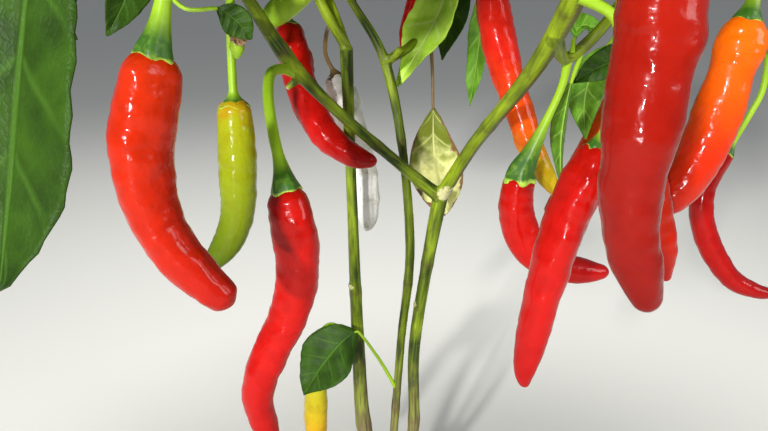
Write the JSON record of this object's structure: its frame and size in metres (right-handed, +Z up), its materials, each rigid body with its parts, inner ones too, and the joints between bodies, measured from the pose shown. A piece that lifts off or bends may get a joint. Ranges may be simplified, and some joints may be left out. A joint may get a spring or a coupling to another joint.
{
  "type": "chilli pepper plant",
  "caption": "Rooted chilli pepper plant: forked green stems on a flat-cut foot, long peppers that hang on arched stalks, and an open crown of leafy masses.",
  "frame": {"origin": "centre of the flat cut under the trunk, at ground level", "axes": "+Z up, -Y towards the viewer of the picture, +X to the viewer's right"},
  "size_m": [0.4509, 0.4531, 0.6381],
  "materials": {
    "bark": "grey-brown corky bark with green showing between its ridges",
    "stem": "satin green stem, darker at its joints, paler yellow-green in the light",
    "leaf": "mid green with paler veins, slightly glossy above",
    "leaf_withered": "dull pale yellow-green with a dry brown edge",
    "foliage": "mid green leaves on green twigs",
    "pepper_red": "glossy bright red skin",
    "pepper_orange": "glossy orange-red skin",
    "pepper_green": "satin yellow-green skin",
    "pepper_bleached": "dry papery whitish skin"
  },
  "bodies": {
    "root": {"bough_back": "stem", "bough_back_high": "stem", "bough_back_left": "stem", "bough_back_right": "stem", "bough_centre": "stem", "bough_left": "stem", "bough_left_front": "stem", "bough_left_high": "stem", "bough_left_side": "stem", "bough_middle_left": "stem", "bough_right": "stem", "bough_right_front": "stem", "bough_right_high": "stem", "bough_right_side": "stem", "bough_top": "stem", "foliage_high_back_left": "foliage", "foliage_high_back_right": "foliage", "foliage_high_front": "foliage", "foliage_high_left": "foliage", "foliage_high_right": "foliage", "foliage_low_back": "foliage", "foliage_low_back_left": "foliage", "foliage_low_back_right": "foliage", "foliage_low_front_left": "foliage", "foliage_low_front_right": "foliage", "foliage_low_left": "foliage", "foliage_low_right": "foliage", "foliage_top": "foliage", "leaf_centre": "leaf", "leaf_centre_back": "leaf", "leaf_folded": "leaf", "leaf_left": "leaf", "leaf_low": "leaf", "leaf_near": "leaf", "leaf_right": "leaf", "leaf_small": "leaf", "leaf_withered": "leaf_withered", "pepper_back": "pepper_red", "pepper_behind_left": "pepper_red", "pepper_behind_near": "pepper_red", "pepper_bleached": "pepper_bleached", "pepper_bud": "pepper_green", "pepper_far_right": "pepper_red", "pepper_front_left": "pepper_orange", "pepper_hooked": "pepper_red", "pepper_left_long": "pepper_red", "pepper_low": "pepper_green", "pepper_near": "pepper_red", "pepper_olive": "pepper_green", "pepper_orange": "pepper_orange", "pepper_right_front": "pepper_red", "pepper_right_long": "pepper_red", "pepper_turning": "pepper_orange", "pepper_young": "pepper_green", "stem_left": "stem", "stem_middle": "stem", "stem_right": "stem", "trunk": "bark", "twig_right": "stem"}
  },
  "joints": []
}
